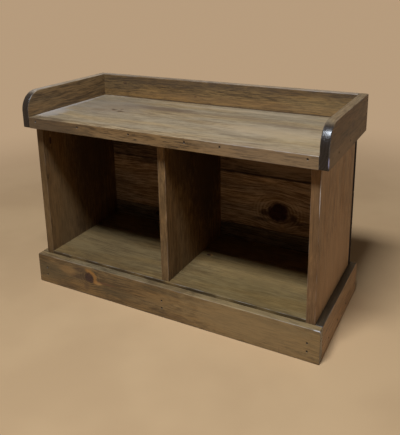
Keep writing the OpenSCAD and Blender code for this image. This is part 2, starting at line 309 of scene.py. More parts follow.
def round_corners(u, v, ends, radii):
    """Rounds the four corners of the rectangle from ends[0] to ends[1] by ends[2] to ends[3], each about
    the middle of its own circle. The radii are for (low, low), (high, low), (low, high), (high, high)."""
    for (i, j), radius in zip([(0, 2), (1, 2), (0, 3), (1, 3)], radii):
        side_u, side_v = (-1, 1)[i], (-1, 1)[j - 2]
        middle_u, middle_v = ends[i] - side_u * radius, ends[j] - side_v * radius
        a, b = (u - middle_u) * side_u / radius, (v - middle_v) * side_v / radius
        inside = (a > 0) & (b > 0)
        round_a, round_b = to_disc(np.where(inside, a, 0), np.where(inside, b, 0))
        u = np.where(inside, middle_u + side_u * radius * round_a, u)
        v = np.where(inside, middle_v + side_v * radius * round_b, v)
    return u, v


# %% [markdown]
# ## Faces of a board
# A sawn and sanded board could be a cube with a Bevel modifier, but that gives no pits for the nails, no
# housings and no unevenness. Here it is a surface instead. Each of its two faces is a grid with a height, and
# is drawn in a little at its borders, which leaves room for a round edge.

# %% Faces of a board
AXES = {"x": 0, "y": 1, "z": 2}
EASE = 1.0 * MM
EASE_REACH = 2.5
PIT_DEPTH = 1.35 * MM
PIT_RADIUS = 1.75 * MM
PIT_LIP = 0.45 * MM
UNEVEN = 0.2 * MM
UNEVEN_PITCH = 0.16


def inset(values, low, high, ease_low, ease_high):
    """Moves grid lines inwards near both ends, by the ease at the end itself and less further in."""
    near_low = np.clip(1 - (values - low) / max(ease_low * EASE_REACH, 1e-9), 0, 1)
    near_high = np.clip(1 - (high - values) / max(ease_high * EASE_REACH, 1e-9), 0, 1)
    return values + ease_low * near_low - ease_high * near_high


def pit_depth(u, v, pits):
    """How deep the nail pits are at each point: full inside the pit's radius, none outside its lip."""
    depth = np.zeros(u.shape)
    for pit_u, pit_v in pits:
        gap = np.hypot(u - pit_u, v - pit_v)
        depth = np.maximum(depth, np.clip((PIT_RADIUS + PIT_LIP - gap) / PIT_LIP, 0, 1))
    return depth


def pocket_depth(u, v, pockets):
    """The depth of the housings and laps at each point. A pocket is (u low, u high, v low, v high, depth)."""
    depth = np.zeros(u.shape)
    for u0, u1, v0, v1, deep in pockets:
        depth = np.where((u > u0) & (u < u1) & (v > v0) & (v < v1), deep, depth)
    return depth


def board_face(raw, ends, radii, ease, pits, pockets, level, sign, seed):
    """One face of a board. The grid is drawn in at the edges, then rounded at pits and corners, and each
    point is sunk by its pit, by its pocket, and by up to UNEVEN, only inwards."""
    u = inset(raw[0], ends[0], ends[1], ease[0], ease[1])
    v = inset(raw[1], ends[2], ends[3], ease[2], ease[3])
    u, v = round_corners(*round_pits(u, v, pits), ends, radii)
    pit = pit_depth(u, v, pits)
    sink = pit * PIT_DEPTH + pocket_depth(*raw, pockets)
    sink = sink + UNEVEN * (0.5 + 0.5 * waves(u, v, seed + (sign > 0), UNEVEN_PITCH))
    return u, v, level - sign * sink, pit


# %% [markdown]
# ## Edges of a board
# Between the two faces, rings of points follow the board's outline. Each ring lies a little further out and a
# little lower than the one before, along a quarter circle, so that the edges are eased as by sandpaper. Years
# of use wear an edge unevenly, so how far the rings go down varies along it.

# %% Edges of a board
RING_ANGLES = np.radians([22.5, 45, 67.5, 90])
CORNER_RADIUS = 2.6 * MM
BIG_CORNER_LINES = 15
JOINT_WALL = 0.02 * MM


def board_grid(ends, radii, pits, pockets, notch):
    """The grid of one board before anything is rounded, with fine lines at the edges and corners, round each
    pit, and on both sides of each wall of a pocket or notch."""
    u0, u1, v0, v1 = ends
    big = max(radii)
    corner_lines = np.linspace(0, big, BIG_CORNER_LINES) if big > CORNER_RADIUS else []
    arc = np.concatenate([EDGE_LINES, [CORNER_RADIUS], corner_lines])
    walls = [wall for pocket in pockets for wall in pocket[:2]] + ([notch[0]] if notch else [])
    rises = [rise for pocket in pockets for rise in pocket[2:4]] + ([notch[1]] if notch else [])
    steps = np.array([-1, 1]) * JOINT_WALL
    u_exact = np.concatenate([u0 + arc, u1 - arc, *[pit[0] + PIT_LINES for pit in pits],
                              *[wall + steps for wall in walls]])
    v_exact = np.concatenate([v0 + arc, v1 - arc, *[pit[1] + PIT_LINES for pit in pits],
                              *[rise + steps for rise in rises]])
    return np.meshgrid(grid_lines(u0, u1, u_exact), grid_lines(v0, v1, v_exact), indexing="ij")


def outline(grid):
    """The values along the border of a grid, once round."""
    return np.concatenate([grid[:, 0], grid[-1, 1:], grid[-2::-1, -1], grid[0, -2:0:-1]])


def edge_rings(face, rim, rub, sign):
    """The rings from a face's border to the board's outline. At each angle of a quarter circle a ring has
    gone outwards by its sine, and down by one less its cosine, times the rub."""
    edge_u, edge_v, edge_w = (outline(part) for part in face[:3])
    step_u, step_v = rim[0] - edge_u, rim[1] - edge_v
    drop = np.maximum(np.abs(step_u), np.abs(step_v)) * rub
    return [(edge_u + step_u * np.sin(angle), edge_v + step_v * np.sin(angle),
             edge_w - sign * drop * (1 - np.cos(angle))) for angle in RING_ANGLES]


def board_faces(shape, ring_count):
    """The quads of both faces and of the rings between them. Also the numbers of the points in the rings,
    from one face's border to the other's."""
    grid = np.arange(shape[0] * shape[1]).reshape(shape)
    quads = np.stack([grid[:-1, :-1], grid[1:, :-1], grid[1:, 1:], grid[:-1, 1:]], axis=-1).reshape(-1, 4)
    border = outline(grid)
    between = 2 * grid.size + np.arange(ring_count)[:, None] * border.size + np.arange(border.size)
    chain = np.vstack([border, between, border + grid.size])
    after = np.roll(chain, -1, axis=1)
    rim = np.stack([chain[:-1], chain[1:], after[1:], after[:-1]], axis=-1).reshape(-1, 4)
    return np.concatenate([quads, quads[:, ::-1] + grid.size, rim]), chain


# %% [markdown]
# ## Mesh of a board
# The faces and rings are joined into one closed skin, as solid as the board it stands for. Corners and
# notches press some points together, and Blender could merge those by distance. Here numpy merges the equal
# ones, so that it stays known how worn each point is, which is also where the painted highlight on an edge
# goes.

# %% Mesh of a board
RUB_DEPTH = 0.25
RUB_PITCH = 0.05
RUB_SEED_STEP = 7
SHARP_ANGLE = np.radians(40)

# How worn each ring is, and so how much of the painted highlight on the edge it gets, from one face's
# border over the edge to the other face's border
CHAIN_ARRIS = np.array([0.5, 0.7, 1, 0.7, 0, 0, 0.7, 1, 0.7, 0.5])


def closed_mesh(name, points, faces, attributes):
    """A mesh whose doubled points are merged and whose faces point outwards, and its volume. That is the sum
    over its triangles of the signed pyramids to the origin, so it is negative if the faces point inwards."""
    kept, where, back = np.unique(np.round(points, 7), axis=0, return_index=True, return_inverse=True)
    faces = back.reshape(-1)[faces]
    doubled = faces == np.roll(faces, -1, axis=1)
    quads = faces[~doubled.any(axis=1)]
    single = doubled.sum(axis=1) == 1
    triangles = faces[single][~doubled[single]].reshape(-1, 3)
    volume = sum(np.einsum("ij,ij->i", kept[f[:, 0]], np.cross(kept[f[:, k]], kept[f[:, k + 1]])).sum() / 6
                 for f in (quads, triangles) for k in range(1, f.shape[1] - 1))
    if volume < 0:
        quads, triangles = quads[:, ::-1], triangles[:, ::-1]
    mesh = bpy.data.meshes.new(name)
    mesh.from_pydata(kept.tolist(), [], quads.tolist() + triangles.tolist())
    for attribute, values in attributes.items():
        layer = mesh.attributes.new(attribute, "FLOAT", "POINT")
        layer.data.foreach_set("value", values[where].astype(np.float32))
    mesh.shade_smooth()
    mesh.set_sharp_from_angle(angle=SHARP_ANGLE)
    return mesh, abs(volume)


def board_mesh(name, axes, face_sign, low, high, pits, pockets_out, pockets_in, ease_out, ease_in,
               radii, notch, seed):
    """The mesh of one board. The first two axes are the grid's directions, and its height is along the third.
    The outer face carries the nail pits. A notch keeps the board between its first and its third value along
    the grid, wherever it is below its second value across."""
    iu, iv, iw = (AXES[a] for a in axes)
    ends = (low[iu], high[iu], low[iv], high[iv])
    w_out, w_in = (high[iw], low[iw]) if face_sign > 0 else (low[iw], high[iw])
    raw = board_grid(ends, radii, pits, pockets_out + pockets_in, notch)
    outer = board_face(raw, ends, radii, ease_out, pits, pockets_out, w_out, face_sign, seed)
    inner = board_face(raw, ends, radii, ease_in, [], pockets_in, w_in, -face_sign, seed)
    rim = [outline(part) for part in round_corners(*raw, ends, radii)]
    rub = 1 + RUB_DEPTH * waves(*rim, seed + RUB_SEED_STEP, RUB_PITCH)
    rings = edge_rings(outer, rim, rub, face_sign) + edge_rings(inner, rim, rub, -face_sign)[::-1]
    u, v, w = (np.concatenate([outer[i].ravel(), inner[i].ravel(), *[ring[i] for ring in rings]])
               for i in range(3))
    if notch:
        u = np.where(v < notch[1], np.clip(u, notch[0], notch[2]), u)
    points = np.empty((u.size, 3))
    points[:, iu], points[:, iv], points[:, iw] = u, v, w
    faces, chain = board_faces(raw[0].shape, len(rings))
    arris = np.zeros(u.size)
    arris[chain] = CHAIN_ARRIS[:, None]
    pit = np.zeros(u.size)
    pit[:outer[3].size] = outer[3].ravel()
    return closed_mesh(name, points, faces, {"arris": arris, "pit": pit})


# %% [markdown]
# ## Where the nails are
# The nails stay as the CAD model has them, so the pits have to be exactly over their heads. The places could
# be typed in again, but then they would be wrong as soon as the CAD model changed. They are read from the
# nails themselves: every point of a head lies in one plane, and the middle of each cluster is its place.

# %% Where the nails are
NAIL_SET = 1.0 * MM
HEAD_REACH = 5 * MM
LEVEL_REACH = 0.1 * MM


def nail_places(node, axes, plane, face_sign):
    """The middles of the nail heads just under one plane, as (along, across) pairs."""
    iu, iv, iw = (AXES[a] for a in axes)
    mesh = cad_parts[node].data
    points = np.empty(len(mesh.vertices) * 3, np.float32)
    mesh.vertices.foreach_get("co", points)
    points = points.reshape(-1, 3).astype(float)
    level = np.abs(points[:, iw] - (plane - face_sign * NAIL_SET)) < LEVEL_REACH
    heads = np.unique(np.round(points[level][:, [iu, iv]], 6), axis=0)
    near = np.linalg.norm(heads[:, None] - heads[None, :], axis=-1) < HEAD_REACH
    middles = near @ heads / near.sum(axis=1, keepdims=True)
    return np.unique(np.round(middles, 5), axis=0)


# %% [markdown]
# ## Making each board
# A board is made from its CAD node's box, the directions of its grid, and the face that looks outwards. The
# piece could be left free, but then it would stay behind if the bench were moved. So it rides on the bench's
# body and replaces its CAD node.

# %% Making each board
NEARLY_SHARP = 0.25 * MM
SEED_STEP = 31
boards = {}


def make_board(node, axes, face_sign, nails=(), pockets_out=(), pockets_in=(), ease_out=(EASE,) * 4,
               ease_in=(EASE,) * 4, radii=(CORNER_RADIUS,) * 4, notch=None):
    """Makes the board that replaces a CAD node, and keeps what its material needs to know."""
    low, high = (np.array(corner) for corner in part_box(node))
    iu, iv, iw = (AXES[a] for a in axes)
    plane = high[iw] if face_sign > 0 else low[iw]
    pits = [tuple(p) for nail_node in nails for p in nail_places(nail_node, axes, plane, face_sign)
            if low[iu] < p[0] < high[iu] and low[iv] < p[1] < high[iv]]
    name = node + "_pine"
    mesh, volume = board_mesh(name, axes, face_sign, low, high, pits, list(pockets_out), list(pockets_in),
                              ease_out, ease_in, radii, notch, seed=len(boards) * SEED_STEP)
    piece = bpy.data.objects.new(name, mesh)
    bpy.context.scene.collection.objects.link(piece)
    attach(piece, "root")
    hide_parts(node)
    boards[node] = {"piece": piece, "low": low, "high": high}
    print(f"{name}: {len(mesh.polygons)} faces, {len(pits)} pits, {volume * 1e6:.0f} cm3")


# %% [markdown]
# ## Seat and gallery
# The seat board is hidden by its edging and gallery on all sides, so its own edges stay nearly sharp. Arms
# and hands rub the gallery most, which is why its edges are rounder. Its front top corners are cut to a large
# radius, so that nobody knocks against them.

# %% Seat and gallery
SIDES = (("left", -1), ("right", 1))
SEAT_EASE = 1.6 * MM
SEAT_CORNER = SEAT_EASE + 0.6 * MM
GALLERY_EASE = 2.2 * MM
GALLERY_CORNER = GALLERY_EASE + MM
GALLERY_RADIUS = 48 * MM

make_board("seat_board", "xyz", 1, ease_out=(NEARLY_SHARP,) * 4)
make_board("seat_edging", "xzy", -1, ["edging_nails"],
           ease_out=(NEARLY_SHARP, NEARLY_SHARP, EASE, SEAT_EASE), ease_in=(NEARLY_SHARP,) * 4,
           radii=(SEAT_CORNER,) * 4)
for side, sign in SIDES:
    make_board("gallery_" + side, "yzx", sign, ["gallery_side_nails", "gallery_corner_nails"],
               ease_out=(GALLERY_EASE, EASE, EASE, GALLERY_EASE),
               ease_in=(GALLERY_EASE, EASE, EASE, GALLERY_EASE),
               radii=(GALLERY_CORNER, GALLERY_CORNER, GALLERY_RADIUS, GALLERY_CORNER))
make_board("gallery_back", "xzy", 1, ["gallery_back_nails"],
           ease_out=(NEARLY_SHARP, NEARLY_SHARP, EASE, GALLERY_EASE),
           ease_in=(NEARLY_SHARP, NEARLY_SHARP, EASE, GALLERY_EASE), radii=(GALLERY_CORNER,) * 4)

# %% [markdown]
# ## Cabinet
# The sides carry the cubby floor in housings, which are grooves that stop short of the front so that they
# don't show there. They could be cut with a Boolean, but that leaves untidy faces. Here a housing is a pocket
# in the height of one face, and a tongue that runs into one is a board with a notch at its front.

# %% Cabinet
HOUSING_DEPTH = 6 * MM
HOUSING_STOP = 14 * MM
FAR = 1.0
floor_low, floor_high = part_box("cubby_floor")
divider_low, divider_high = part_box("centre_divider")
side_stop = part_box("left_side")[0][1] + HOUSING_STOP
divider_stop = divider_low[1] + HOUSING_STOP

for side, sign in SIDES:
    make_board(side + "_side", "yzx", sign, ["cubby_floor_nails"],
               pockets_in=[(side_stop, FAR, floor_low[2], floor_high[2], HOUSING_DEPTH)])
make_board("centre_divider", "zyx", 1,
           notch=(divider_low[2] + HOUSING_DEPTH, divider_stop, FAR))
make_board("cubby_floor", "xyz", 1,
           pockets_out=[(divider_low[0], divider_high[0], divider_stop, FAR, HOUSING_DEPTH)],
           notch=(floor_low[0] + HOUSING_DEPTH, side_stop, floor_high[0] - HOUSING_DEPTH))

# %% [markdown]
# ## Back boards
# Three boards lie across the back and overlap at their edges in laps, so that no light comes through when the
# wood shrinks. A lap is a pocket along one edge, on the inner face of the upper board and on the outer face
# of the lower one.

# %% Back boards
LAP_HEIGHT = 10 * MM
TONGUE_HEIGHT = 9 * MM
LAP_DEPTH = 10.25 * MM

for part, rebated, tongued in (("bottom", False, True), ("middle", True, True), ("top", True, False)):
    low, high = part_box("back_board_" + part)
    rebate = [(-FAR, FAR, -FAR, low[2] + LAP_HEIGHT, LAP_DEPTH)] if rebated else []
    tongue = [(-FAR, FAR, high[2] - TONGUE_HEIGHT, FAR, LAP_DEPTH)] if tongued else []
    make_board("back_board_" + part, "xzy", 1, ["back_board_nails"],
               pockets_out=tongue, pockets_in=rebate)

# %% [markdown]
# ## Plinth
# The plinth takes the knocks of feet and brooms, so its top edge is rounder than the others. Its front covers
# the ends of its sides, whose front edges stay nearly sharp where they meet it.

# %% Plinth
PLINTH_CORNER = 4 * MM

make_board("plinth_front", "xzy", -1, ["plinth_front_nails"],
           ease_out=(EASE, EASE, EASE, 2 * EASE), radii=(PLINTH_CORNER,) * 4)
for side, sign in SIDES:
    make_board("plinth_" + side, "yzx", sign, ["plinth_side_nails"],
               ease_out=(NEARLY_SHARP, EASE, EASE, 2 * EASE), radii=(PLINTH_CORNER,) * 4)

# %% [markdown]
# ## Stained pine
# Pine shows its growth rings as lines along the board, wide apart where the board was cut near the bark and
# close where it was cut near the middle of the log. An image of wood would do from the front, but the ends
# and edges would not match it. So the figure is solid: each point of a board is given its distance from the
# middle of the log, and rings, fibres, stain and knots all follow from that place. A board's grain is written
# as three letters, the bench's directions that lie along it, across it and through it.

# %% Place in a board
BOARD_TURNS = {
    "xyz": ((1, 0, 0), (0, 1, 0), (0, 0, 1)),
    "xzy": ((1, 0, 0), (0, 0, 1), (0, -1, 0)),
    "yzx": ((0, 1, 0), (0, 0, 1), (1, 0, 0)),
    "zyx": ((0, 0, 1), (0, 1, 0), (-1, 0, 0)),
}
UPRIGHT = "zyx"


def board_place(n, board, grain):
    """The place in the board: metres along the grain, across it and through it, from the board's middle.
    Also the direction in which its surface looks, in the same three directions."""
    rows = Matrix(BOARD_TURNS[grain])
    middle = rows @ Vector((board["low"] + board["high"]) / 2)
    place = n.add("Mapping", {"Vector": n.add("TexCoord").outputs["Object"], "Rotation": rows.to_euler(),
                              "Location": -middle})
    normal = n.add("Mapping", {"Vector": n.add("TexCoord").outputs["Normal"], "Rotation": rows.to_euler()},
                   vector_type="NORMAL")
    return place.outputs[0], normal.outputs[0]


def on_board(board, grain, where):
    """A place in millimetres of the bench's own frame, in the order of the grain's letters, turned into
    metres from the board's middle. A coordinate that is left out is the middle's."""
    middle = (board["low"] + board["high"]) / 2
    given = middle.copy()
    for letter, value in zip(grain, where):
        given[AXES[letter]] = value * MM
    return np.array(BOARD_TURNS[grain], float) @ (given - middle)


# %% [markdown]
# ## Where a point lay in the log
# A log isn't straight, so its middle wanders along each board. A knot is the foot of a branch, and the fibres
# flow round it as water flows round a post. Both are done by moving the point before its rings are counted,
# so that rings and fibres bend together. A knot painted on top of straight fibres would look stuck on.

# %% Where a point lay in the log
WANDER_GRAIN = (2.6, 7, 7)
WANDER_ACROSS = 0.036
WANDER_THROUGH = 0.026
PUSH = 1.3
SOFT_MIDDLE = 0.3
TINY_SQUARE = 1e-8


def knot_field(n, along, across, middle, radius, stretch):
    """How far a knot pushes the fibres aside, the distance from its middle in knot radii, and the direction
    from its middle. The push is the offset times radius squared over distance squared, where the distance
    along the grain counts less."""
    a = n.math("MULTIPLY", n.math("SUBTRACT", along, middle[0]), 1 / stretch)
    c = n.math("SUBTRACT", across, middle[1])
    square = n.math("ADD", n.math("MULTIPLY", a, a), n.math("MULTIPLY", c, c))
    push = n.math("DIVIDE", n.math("MULTIPLY", c, PUSH * radius * radius),
                  n.math("ADD", square, SOFT_MIDDLE * radius * radius))
    gap = n.math("SQRT", n.math("ADD", square, TINY_SQUARE))
    toward = (n.math("DIVIDE", a, gap), n.math("DIVIDE", c, gap))
    return push, n.math("DIVIDE", gap, radius), toward


def log_place(n, board, grain, point, seeded, knots):
    """Where each point lay across and through the log, and the fields of the knots."""
    along, across, through = point
    wander = n.parts(n.noise(seeded, WANDER_GRAIN, detail=2, output="Color"))
    log_across = n.math("ADD", across, n.swing(wander[0], WANDER_ACROSS))
    log_through = n.math("ADD", through, n.swing(wander[1], WANDER_THROUGH))
    fields = []
    for *where, radius, stretch, strength, bright in knots:
        middle = on_board(board, grain, where)
        push, gap, toward = knot_field(n, along, across, middle, radius * MM, stretch)
        log_across = n.math("SUBTRACT", log_across, push)
        fields.append({"gap": gap, "toward": toward, "radius": radius * MM, "strength": strength,
                       "bright": bright})
    return log_across, log_through, fields


# %% [markdown]
# ## Growth rings
# Each year adds pale early wood and then dark late wood, which stops sharply at the next spring. Waves of
# colour would be dark as long as they are pale. So the ring's number is worked out first, and what is left
# after its whole number says how far through the year a point grew.

# %% Growth rings
TAPER = 0.012
RING_UNEVEN = 0.8
RING_UNEVEN_GRAIN = (9, 120, 120)
LATE_WOOD_IN = (0.25, 0.85)
LATE_WOOD_OUT = (1.0, 0.9)
WEAKEST_RING = 0.25
FADED_RING = 0.2
RING_FADE_GRAIN = (7, 30, 30)
PATCHY = (0.38, 0.62)


def growth_rings(n, seeded, along, log_across, log_through, heart, ring_pitch):
    """How far through its ring each point is, from 0 to 1, and how much dark late wood it has. The ring's
    number is the distance from the log's heart, which tapers along the board, over the rings' pitch."""
    aside = n.math("POWER", n.math("SUBTRACT", log_across, heart[0]), 2.0)
    under = n.math("POWER", n.math("SUBTRACT", log_through, heart[1]), 2.0)
    tapered = n.math("ADD", n.math("SQRT", n.math("ADD", aside, under)), n.math("MULTIPLY", along, TAPER))
    uneven = n.noise(seeded, RING_UNEVEN_GRAIN, detail=3)
    ring = n.math("ADD", n.math("DIVIDE", tapered, ring_pitch * MM), n.math("MULTIPLY", uneven, RING_UNEVEN))
    within = n.math("FRACT", ring)
    late = n.math("MULTIPLY", n.ease(within, *LATE_WOOD_IN), n.ease(within, *LATE_WOOD_OUT))
    chance = n.add("TexWhiteNoise", {"W": n.math("FLOOR", ring)}, noise_dimensions="1D").outputs["Value"]
    patch = n.noise(seeded, RING_FADE_GRAIN, detail=3, roughness=0.6)
    strength = n.math("MULTIPLY", n.ease(chance, 0.0, 1.0, WEAKEST_RING, 1.0),
                      n.ease(patch, *PATCHY, FADED_RING, 1.0))
    return within, n.math("MULTIPLY", late, strength)


# %% [markdown]
# ## Stain
# Stain is taken up by the wood's pores, so it is a field of its own on top of the rings: fine fibres, short
# dark flecks, streaks and wide bands along the grain, and the blotches that pine takes. Each is a noise that
# is stretched along the fibres. Their sum says where between the board's light and dark colour a point is.

# %% Stain
STAIN_CONTRAST = 2.6
MIDDLE_TONE = 0.40
TONE_RANGE = (-0.30, 1.30)
RIPPLE = 8 * MM
RIPPLE_STRENGTH = 0.45
RIPPLE_REACH = (2.9, 1.5)
RIPPLE_SIDES = (0.4, 0.9)
WARM_TINT = (1.04, 0.99, 0.86, 1)
COOL_TINT = (0.97, 1.01, 1.03, 1)
LOOKS_UP = (0.5, 0.9)
TINT_GRAIN = (4, 22, 22)


def stain_noises(n, seeded, swirled, fleck_width):
    """The noises of the stain by name. All but the blotches follow the fibres."""
    fine = 1 / (fleck_width * MM)
    return {"fibre": n.noise(swirled, (16, 400, 400), detail=3, roughness=0.75),
            "fleck": n.noise(swirled, (26, fine, fine), detail=3, roughness=0.7),
            "streak": n.noise(swirled, (5, fine * 0.4, fine * 0.4), detail=4, roughness=0.65),
            "band": n.noise(swirled, (1.8, 32, 32), detail=3),
            "blotch": n.noise(seeded, (9, 22, 22), detail=5, roughness=0.65)}


def stain_tone(n, late, noises, weights, knots):
    """0 where the board has its light colour and 1 where it has its dark one: late wood, the weighted
    noises, and sine ripples beside the knots, where the fibres are pressed together."""
    tone = late
    for name, weight in weights.items():
        tone = n.math("ADD", tone, n.swing(noises[name], STAIN_CONTRAST * weight))
    for knot in knots:
        wave = n.math("SINE", n.math("MULTIPLY", knot["gap"], 2 * np.pi * knot["radius"] / RIPPLE))
        sides = n.ease(n.math("ABSOLUTE", knot["toward"][0]), *RIPPLE_SIDES)
        ripple = n.math("MULTIPLY", wave, n.math("MULTIPLY", n.ease(knot["gap"], *RIPPLE_REACH), sides))
        tone = n.math("ADD", tone, n.math("MULTIPLY", ripple, RIPPLE_STRENGTH * knot["strength"]))
    return n.ease(n.math("ADD", tone, MIDDLE_TONE), *TONE_RANGE)


def stain_colour(n, seeded, tone, light, dark, top):
    """The colour of each tone, tinted in patches. Top is the pair of colours for faces that look up, which on
    the gallery is a painted highlight and on the right plinth a painted shadow.
    """
    colour = n.mix(tone, (*light, 1), (*dark, 1))
    if top:
        looks_up = n.ease(n.parts(n.add("TexCoord").outputs["Normal"])[2], *LOOKS_UP)
        colour = n.mix(looks_up, colour, n.mix(tone, (*top[0], 1), (*top[1], 1)))
    warmth = n.noise(seeded, TINT_GRAIN, detail=3)
    tint = n.mix(n.ease(warmth, *PATCHY), WARM_TINT, COOL_TINT)
    return n.mix(1.0, colour, tint, "MULTIPLY")


# %% [markdown]
# ## Marks and knots
# Marks that show clearly on the real boards, such as a dark line along a joint or a place worn pale, are
# ovals with an uneven border, and so are the patches of painted light and painted shade and the painted
# glints. They could be painted on an image, but ovals keep the material free of images and sharp at any size.
# A knot's heart is reddish and nearly black, and part of its rim is orange with resin.

# %% Marks and knots
OVAL_UNEVEN = 1.6
OVAL_BORDER = (1.25, 0.45)
LUMPS_PER_RADIUS = 0.8
LUMPS = 1.1
HALO_BORDER = (1.85, 1.35)
HALO_SIDE = (-0.1, 0.5)
HALO_STRENGTH = 0.8
HALO_ORANGE = (0.36, 0.17, 0.04, 1)
HEART_BORDER = (1.25, 0.75)
HEART_RED = (0.055, 0.022, 0.017, 1)
HEART_BLACK = (0.018, 0.008, 0.008, 1)
KNOT_SUNK = 0.4
SUNK_BORDER = (1.2, 0.9)
HEART_FLECKS = (0.4, 0.6)


def oval(n, point, rough, middle, half_length, half_width):
    """1 in the middle of an oval and 0 outside it, with a border as uneven as the rough field. The distance
    is the square root of the squared shares of half the length and half the width."""
    a = n.math("DIVIDE", n.math("SUBTRACT", point[0], middle[0]), half_length * MM)
    c = n.math("DIVIDE", n.math("SUBTRACT", point[1], middle[1]), half_width * MM)
    gap = n.math("SQRT", n.math("ADD", n.math("MULTIPLY", a, a), n.math("MULTIPLY", c, c)))
    return n.ease(n.math("ADD", gap, n.swing(rough, OVAL_UNEVEN)), *OVAL_BORDER)


def knot_heart(n, seeded, fleck, knot, colour, height):
    """Lays a knot over the colour, and sinks it in the height: an orange halo on one part of its rim, which
    is where the direction from its middle agrees with its bright side, and then its dark heart."""
    lumps = n.noise(seeded, (LUMPS_PER_RADIUS / knot["radius"],) * 3, detail=4, roughness=0.6)
    gap = n.math("ADD", knot["gap"], n.swing(lumps, LUMPS))
    agrees = n.math("ADD", n.math("MULTIPLY", knot["toward"][0], knot["bright"][0]),
                    n.math("MULTIPLY", knot["toward"][1], knot["bright"][1]))
    halo = n.math("MULTIPLY", n.ease(gap, *HALO_BORDER), n.ease(agrees, *HALO_SIDE))
    colour = n.mix(n.math("MULTIPLY", halo, HALO_STRENGTH * knot["strength"]), colour, HALO_ORANGE)
    heart_colour = n.mix(n.ease(fleck, *HEART_FLECKS), HEART_RED, HEART_BLACK)
    heart = n.math("MULTIPLY", n.ease(gap, *HEART_BORDER), knot["strength"])
    sunk = n.math("MULTIPLY", n.ease(gap, *SUNK_BORDER), KNOT_SUNK)
    return n.mix(heart, colour, heart_colour), n.math("SUBTRACT", height, sunk)


# %% [markdown]
# ## Ends, edges and pits
# End grain drinks the stain and is nearly black, edges that hands and feet rub are paler, and stain dries
# dark in the nail pits. The paler edges are also a painted highlight on the arris, and the painted glints
# are brighter painted highlights on a few edges. End grain is found by the direction in which the surface
# looks. Edges and pits can't be found by direction, because both are round, so the mesh carries them as two
# attributes, one for the edges and one for the pits.

# %% Ends, edges and pits
END_FACING = (0.2, 0.6)
END_RINGS = (0.2, 0.9)
END_BROWN = (0.012, 0.010, 0.011, 1)
END_BLACK = (0.0035, 0.003, 0.004, 1)
# Paler edges, in patches: wear, and a painted highlight on the arris
EDGE_WEAR_AND_HIGHLIGHT_GRAIN = (25, 45, 45)
EDGE_WEAR_AND_HIGHLIGHT_PATCHES = (0.4, 0.65)
EDGE_WEAR_AND_HIGHLIGHT_SHARE = 0.5
EDGE_WEAR_AND_HIGHLIGHT_PALER = 0.16
# Painted glints: full within 3 mm beside their place, gone beyond 6 mm
GLINT_INSIDE = (6 * MM, 3 * MM)
PIT_STAINED = (0.05, 0.6)
PIT_BROWN = (0.018, 0.012, 0.008, 1)


def end_grain(n, normal, within, end_dark, colour):
    """Lays the dark end grain over the colour, and returns where it is too."""
    end = n.ease(n.math("ABSOLUTE", n.parts(normal)[0]), *END_FACING)
    end_colour = n.mix(n.ease(within, *END_RINGS), END_BROWN, END_BLACK)
    return end, n.mix(n.math("MULTIPLY", end, end_dark), colour, end_colour)


def worn_and_highlit_edges(n, board, grain, point, seeded, rough, light, edge_wear_and_highlight, edge_wear_and_highlight_from, painted_glints, colour):
    """Lays the paler edges over the colour, which come from use and are a painted highlight on the arris,
    then the painted glints, which are painted highlights in ovals on one edge, and the pits.
    """
    arris = n.add("Attribute", attribute_name="arris").outputs["Fac"]
    patches = n.ease(n.noise(seeded, EDGE_WEAR_AND_HIGHLIGHT_GRAIN, detail=3), *EDGE_WEAR_AND_HIGHLIGHT_PATCHES)
    worn_and_highlit = n.math("MULTIPLY", n.math("MULTIPLY", arris, patches), edge_wear_and_highlight)
    if edge_wear_and_highlight_from:
        worn_and_highlit = n.math("MULTIPLY", worn_and_highlit, n.ease(point[0], *edge_wear_and_highlight_from))
    # Paler edges: wear, and a painted highlight on the arris
    colour = n.mix(worn_and_highlit, colour, (*(EDGE_WEAR_AND_HIGHLIGHT_SHARE * c + EDGE_WEAR_AND_HIGHLIGHT_PALER for c in light), 1))
    # Painted glints: painted highlights in ovals on one edge
    for *where, half_length, half_width, glint_colour, strength in painted_glints:
        middle = on_board(board, grain, where)
        share = oval(n, point, rough, middle, half_length, half_width)
        aside = n.math("ABSOLUTE", n.math("SUBTRACT", point[2], middle[2]))
        share = n.math("MULTIPLY", share, n.math("MULTIPLY", arris, n.ease(aside, *GLINT_INSIDE)))
        colour = n.mix(n.math("MULTIPLY", share, strength), colour, (*glint_colour, 1))
    pit = n.add("Attribute", attribute_name="pit").outputs["Fac"]
    return n.mix(n.ease(pit, *PIT_STAINED), colour, PIT_BROWN)


# %% Stained pine
SEED_SHIFT = np.array([1.7, 0.9, 1.3])
SWIRL_SHIFT = np.array([2.1, 1, 1])
DEEP_FLECKS = (0.53, 0.70)
DEEP_SHADE = 0.38
MARK_GRAIN = (40, 110, 110)
FIBRE_RELIEF = 0.5
RING_RELIEF = 0.35
FLECK_RELIEF = 0.4
RELIEF_HEIGHT = 0.6 * MM
RELIEF_STRENGTH = 0.8
BLOTCH_GLOSS = 0.3


